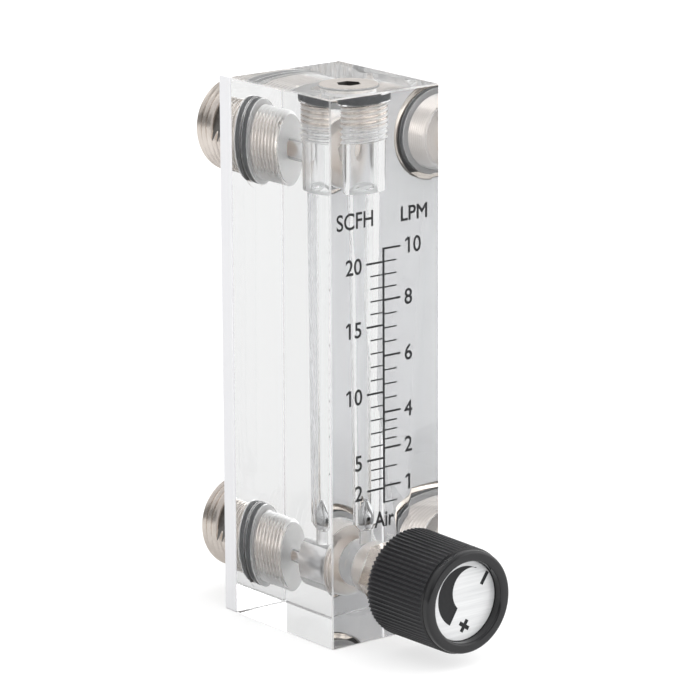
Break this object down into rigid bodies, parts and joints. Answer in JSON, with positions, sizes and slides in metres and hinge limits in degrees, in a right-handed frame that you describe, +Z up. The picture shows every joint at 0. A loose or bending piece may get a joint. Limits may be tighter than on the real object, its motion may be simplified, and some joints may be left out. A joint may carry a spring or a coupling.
{
  "type": "panel rotameter",
  "caption": "Clear acrylic block flow meter with a tapered metering tube, steel float, printed scale, needle valve with ribbed knob and two rear threaded ports.",
  "frame": {"origin": "on the base, under the metering tube's axis", "axes": "+Z up along the metering tube, +Y from the scale towards the ports, +X to the right of the scale"},
  "size_m": [0.025, 0.0694, 0.102],
  "materials": {
    "clear_acrylic": "polished clear acrylic",
    "clear_stop": "clear moulded plastic",
    "opal_acrylic": "polished opal white acrylic",
    "nickel": "turned brass with warm nickel plating",
    "bare_brass": "turned",
    "polished_steel": "polished stainless steel",
    "black_rubber": "satin",
    "white_washer": "white sealing washer",
    "black_knob": "satin moulded black plastic",
    "label_foil": "satin foil with black print",
    "black_print": "screen printed ink"
  },
  "bodies": {
    "meter": {"flow_block": "clear_acrylic", "back_plate": "opal_acrylic", "inlet_fitting": "nickel", "outlet_fitting": "nickel", "inlet_seal": "black_rubber", "outlet_seal": "black_rubber", "top_plug": "nickel", "top_plug_seal": "black_rubber", "float_stop": "clear_stop", "valve_body": "nickel", "valve_washer": "white_washer", "scale_marks": "black_print"},
    "float": {"metering_float": "polished_steel"},
    "stem_advance": {"stem_seal": "black_rubber"},
    "valve_control": {"valve_stem": "polished_steel", "stem_clip": "polished_steel", "knob": "black_knob", "knob_insert": "bare_brass", "knob_screw": "polished_steel", "knob_label": "label_foil"}
  },
  "joints": [
    {"name": "float_rise", "type": "slide", "parent": "meter", "child": "float", "axis": [0, 0, 1], "range_m": [0, 0.0581]},
    {"name": "stem_advance", "type": "slide", "parent": "meter", "child": "stem_advance", "axis": [0, -1, 0], "range_m": [0, 0.00225]},
    {"name": "knob_turn", "type": "hinge", "parent": "stem_advance", "child": "valve_control", "pos_m": [0, -0.0165, 0.0125], "axis": [0, -1, 0], "range_deg": [0, 1620]}
  ],
  "couplings": [
    {"joint": "stem_advance", "follows": "knob_turn", "m_per_rad": 0.000079577}
  ]
}
